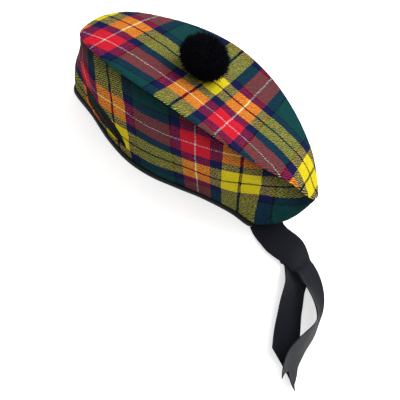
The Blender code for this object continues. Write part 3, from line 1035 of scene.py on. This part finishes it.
# %% Toorie strands
STRANDS = 7000
STRAND_SCATTER = 0.02
STRAND_ROOT_DEPTH = 0.06
STRAND_ROOT_ABOVE = 0.0015
STRAND_LEAN = 0.38
STRAND_BEND = 0.28
STRAND_LENGTHS = (0.0036, 0.0056)
STRAY_SHARE, STRAY_GAIN = 0.05, 1.3
STRAND_TIMES = np.array([0.0, 0.45, 0.8, 1.0])
STRAND_HALF_WIDTHS = 0.00042 * np.array([1.0, 0.8, 0.45])
STRAND_POINTS = 10


def strand_faces(count):
    """The faces of all strands: two bands of three quads, three triangles to the tip and one
    that closes the root."""
    lower, turn = np.arange(3), np.array([1, 2, 0])
    band = np.stack([lower, turn, turn + 3, lower + 3], axis=-1)
    quads = np.concatenate([band, band + 3])
    tips = np.stack([lower + 6, turn + 6, np.full(3, STRAND_POINTS - 1)], axis=-1)
    base = np.arange(count)[:, None, None] * STRAND_POINTS
    return ((quads[None] + base).reshape(-1, 4).tolist()
            + (tips[None] + base).reshape(-1, 3).tolist()
            + (np.array([[[2, 1, 0]]]) + base).reshape(-1, 3).tolist())


def toorie_strands():
    """Each strand is three rings of three points and a tip, along root plus length times
    (t * lean + t^2 * bend), with a width that narrows to nothing."""
    rng = np.random.default_rng(7)
    way = unit(spread(STRANDS) + rng.normal(0, STRAND_SCATTER, (STRANDS, 3)))
    reach, _ = lumpy(way)
    root = toorie_centre + way * toorie_half * (reach[:, None] - STRAND_ROOT_DEPTH)
    free = root[:, 2] > crown_height(root[:, 0], root[:, 1]) + STRAND_ROOT_ABOVE
    way, root = way[free], root[free]
    count = len(way)
    lean = unit(way + rng.normal(0, STRAND_LEAN, (count, 3)))
    bend = rng.normal(0, STRAND_BEND, (count, 3))
    length = rng.uniform(*STRAND_LENGTHS, count)
    length = np.where(rng.random(count) < STRAY_SHARE, length * STRAY_GAIN, length)
    t = STRAND_TIMES[:, None]
    middle = root[:, None] + length[:, None, None] * (lean[:, None] * t + bend[:, None] * t**2)
    side = unit(np.cross(lean, rng.normal(size=(count, 3))))
    other = np.cross(lean, side)
    angle = np.arange(3)[:, None] * 2 * np.pi / 3
    ring = side[:, None] * np.cos(angle) + other[:, None] * np.sin(angle)
    tubes = middle[:, :3, None] + ring[:, None] * STRAND_HALF_WIDTHS[:, None, None]
    points = above_crown(np.concatenate([tubes.reshape(count, 9, 3), middle[:, 3:4]], axis=1))
    mesh = bpy.data.meshes.new("toorie_strands")
    mesh.from_pydata((points + SHIFT).reshape(-1, 3).tolist(), [], strand_faces(count))
    # A random tint for each strand, with painted shade at its root and painted light towards its
    # tip.
    tint_and_painted_shade = np.repeat(rng.uniform(0.1, 0.9, count), STRAND_POINTS)
    along = np.tile(np.repeat([0.0, 0.25, 0.5, 1.0], [3, 3, 3, 1]), count)
    set_tint_and_painted_shade(mesh, tint_and_painted_shade * (PAINTED_LIGHT_AT_HEAD + (1 - PAINTED_LIGHT_AT_HEAD) * along))
    return mesh


piece(toorie_strands(), WOOL, None)

# %% [markdown]
# ## Tails
# The two tails are lengths of ribbon that leave the back seam half on edge, fall flat and turn
# towards the cap's left, and the upper one stands up once more. Ribbon bends easily one way only,
# so its path is best given as a maker would describe it: at each station its heading on the floor,
# how far it tilts and how far it is lifted by what it lies on. Lengths then stay true, because the
# path is the sum of small steps.

# %% Tail tables
# A row: share of the tail's length, its heading and tilt in degrees, its lift in ribbon
# thicknesses, and its cup as a share of the width.
LONG_TAIL = 0.207
SHORT_TAIL = 0.183
TAIL_NOTCH = 0.012
TAIL_SLANT = 0.018
TAIL_BEHIND_RIM = 0.0134
TAIL_ASIDE = 0.0008
LONG_TAIL_ROWS = (
    (0.000, 36, 42, 3.0, 0.00),
    (0.100, 86, 39, 3.5, 0.00),
    (0.200, 91, 30, 5.3, 0.02),
    (0.300, 64, -4, 7.5, 0.03),
    (0.400, 36, -14, 5.7, 0.03),
    (0.500, 18, -31, 3.6, 0.02),
    (0.600, 14, -53, 1.5, 0.00),
    (0.700, -10, -63, 0.0, 0.00),
    (0.800, -14, -56, 0.9, 0.02),
    (0.900, -2, -45, 2.4, 0.03),
    (1.000, 28, -38, 3.0, 0.03),
)
SHORT_TAIL_ROWS = (
    (0.000, 46, 43, 0.0, 0.00),
    (0.080, 93, 39, 0.0, 0.00),
    (0.160, 99, 28, 0.0, 0.00),
    (0.240, 65, 10, 0.0, 0.02),
    (0.320, 26, -3, 0.0, 0.03),
    (0.400, 5, -13, 0.0, 0.05),
    (0.480, 14, -23, 0.0, 0.06),
    (0.570, 10, -23, 0.0, 0.07),
    (0.670, 16, -19, 0.0, 0.07),
    (0.780, 15, -15, 0.0, 0.06),
    (0.890, 17, -14, 0.0, 0.05),
    (1.000, 0, -14, 0.0, 0.05),
)
TAIL_STEPS = 40
TAIL_FINE_STEPS = 8
TAIL_COLUMNS = 25
TAIL_THICKNESS = 0.0007
TAIL_TUCK = 0.0060
TAIL_TUCK_FADE = 0.020
TROUGH_LEVEL = 0.4
print("tails of", LONG_TAIL, "and", SHORT_TAIL)

# %% Tail surface
def tail_grid(rows, length, cut):
    """The path is the sum of steps along the heading. The ribbon spans it across, tilted about
    its own run, and bends into a shallow trough, by the cup times (side squared less
    TROUGH_LEVEL). At the start the lower edge is drawn back under the cap by the tuck, which
    fades along the run."""
    start = np.array([TAIL_ASIDE, rim[-1, 1] + TAIL_BEHIND_RIM])
    table = smooth_rows([rows[0], *rows, rows[-1]], TAIL_STEPS, even=True)
    along, heading, tilt, lift, cup = table.T
    heading, tilt = np.radians(heading), np.radians(tilt)
    run = along * length
    ahead = np.stack([np.cos(heading), np.sin(heading)], axis=-1)
    steps = (ahead[1:] + ahead[:-1]) / 2 * np.diff(run)[:, None]
    plan = start + np.vstack([[0.0, 0.0], np.cumsum(steps, axis=0)])
    low = np.abs(np.sin(tilt)) * TAIL_WIDTH / 2 + np.abs(np.cos(tilt)) * RIBBON / 2
    centre = np.column_stack([plan, low + lift * RIBBON])
    aside = np.column_stack([-np.sin(heading), np.cos(heading), 0 * heading])
    up, tilt = np.array([0.0, 0.0, 1.0]), tilt[:, None]
    across = aside * np.cos(tilt) + up * np.sin(tilt)
    normal = up * np.cos(tilt) - aside * np.sin(tilt)
    side = np.linspace(-1, 1, TAIL_COLUMNS)
    share = np.linspace(0, 1, TAIL_FINE_STEPS * TAIL_STEPS + 1)
    place = share[:, None] * (length - cut(side))

    def on(line):
        return np.stack([np.interp(place, run, line[:, i]) for i in range(3)], axis=-1)

    hollow = (side**2 - TROUGH_LEVEL) * np.interp(place, run, cup) * TAIL_WIDTH
    tuck = TAIL_TUCK * (1 - side) / 2 * np.clip(1 - place / TAIL_TUCK_FADE, 0, 1)
    grid = on(centre) + on(across) * side[:, None] * TAIL_WIDTH / 2
    grid = grid + on(normal) * hollow[..., None]
    grid[..., :2] -= ahead[0] * tuck[..., None]
    grid[..., 2] = np.maximum(grid[..., 2], RIBBON / 2)
    flat = np.stack(np.broadcast_arrays(place, side[None] * TAIL_WIDTH / 2), axis=-1)
    return grid, flat


def fishtail(side):
    """How much shorter the ribbon is across its width: most in the middle."""
    return TAIL_NOTCH * (1 - np.abs(side))


def slant(side):
    """How much shorter the ribbon is across its width: most at the lower side."""
    return TAIL_SLANT * (1 - side) / 2


for name, node, rows, length, cut, depth in (
        ("long_tail_ribbon", "long_tail", LONG_TAIL_ROWS, LONG_TAIL, fishtail, TAIL_NOTCH),
        ("short_tail_ribbon", "short_tail", SHORT_TAIL_ROWS, SHORT_TAIL, slant, TAIL_SLANT)):
    tail = piece(surface(name, *tail_grid(rows, length, cut)), RIBBON_FINISH, node,
                 TAIL_THICKNESS, 0.0)

# %% [markdown]
# ## Floor, light and camera
# The photograph has a plain white ground with the light from the cap's far side, so the near
# rim throws a short soft shadow towards the viewer. A large soft lamp on that side and a bright
# even sky give this. A slight glow of the floor keeps it white, where more light would wash out
# the cloth. The camera looks down at 44 degrees from the cap's left, rolled to one side.

# %% Floor
FLOOR_GLOW = 0.60
FLOOR_HALF = 3


def make_floor():
    """A white that is a little cloudy, with a glow of its own."""
    made = Finish("pale_floor", Roughness=0.8, Specular_IOR_Level=0.0,
                  Emission_Color=(1.0, 1.0, 1.0, 1.0), Emission_Strength=FLOOR_GLOW)
    cloud = made.noise_on_object(3.0, 2.0)
    made.feed({"Base Color": made.mix(cloud, srgb(243, 243, 243), srgb(248, 248, 248))})
    return made.material


floor_mesh = bpy.data.meshes.new("floor")
floor_mesh.from_pydata([(x * FLOOR_HALF, y * FLOOR_HALF, 0)
                        for x, y in ((-1, -1), (1, -1), (1, 1), (-1, 1))], [], [(0, 1, 2, 3)])
floor_mesh.materials.append(make_floor())
floor = bpy.data.objects.new("floor", floor_mesh)
scene.collection.objects.link(floor)
print("floor of", 2 * FLOOR_HALF, "m")

# %% Light
KEY_AT = (-0.45, 0.20, 1.2)
KEY_TOWARDS = (0.0, 0.0, 0.05)
KEY_SIZE = 0.9
KEY_WATTS = 13
SKY_STRENGTH = 0.72

key = bpy.data.lights.new("key", "AREA")
key.size = KEY_SIZE
key.energy = KEY_WATTS
lamp = bpy.data.objects.new("key", key)
lamp.location = KEY_AT
lamp.rotation_euler = (Vector(KEY_TOWARDS) - Vector(KEY_AT)).to_track_quat("-Z", "Y").to_euler()
scene.collection.objects.link(lamp)
world = bpy.data.worlds.new("soft_sky")
scene.world = world
world.use_nodes = True
sky = world.node_tree.nodes["Background"]
sky.inputs["Color"].default_value = (1.0, 1.0, 1.0, 1.0)
sky.inputs["Strength"].default_value = SKY_STRENGTH
scene.view_settings.view_transform = "Standard"
print("lamp", lamp.name, "and sky", world.name)

# %% Camera
CAMERA_AT = np.array([0.3655, 0.0689, 0.3339])
ELEVATION, AZIMUTH, ROLL = (math.radians(angle) for angle in (44.0, 3.3, 35.9))
PICTURE_WIDTH = 400
FOCAL_PIXELS = 440.6
SENSOR_WIDTH = 36.0
NEAREST = 0.01


def camera_axes():
    """The camera's right, up and back directions, rolled. It looks along minus back."""
    back = np.array([math.cos(ELEVATION) * math.cos(AZIMUTH),
                     math.cos(ELEVATION) * math.sin(AZIMUTH), math.sin(ELEVATION)])
    level = np.array([-math.sin(AZIMUTH), math.cos(AZIMUTH), 0.0])
    upright = np.cross(back, level)
    right = math.cos(ROLL) * level + math.sin(ROLL) * upright
    up = -math.sin(ROLL) * level + math.cos(ROLL) * upright
    return np.column_stack([right, up, back])


camera_data = bpy.data.cameras.new("camera")
camera_data.sensor_width = SENSOR_WIDTH
camera_data.lens = FOCAL_PIXELS / PICTURE_WIDTH * SENSOR_WIDTH
camera_data.clip_start = NEAREST
camera = bpy.data.objects.new("camera", camera_data)
camera.matrix_world = (Matrix.Translation(Vector(CAMERA_AT + SHIFT))
                       @ Matrix(camera_axes().tolist()).to_4x4())
scene.collection.objects.link(camera)
scene.camera = camera
print("camera at", (CAMERA_AT + SHIFT).round(4), "lens", round(camera_data.lens, 2))
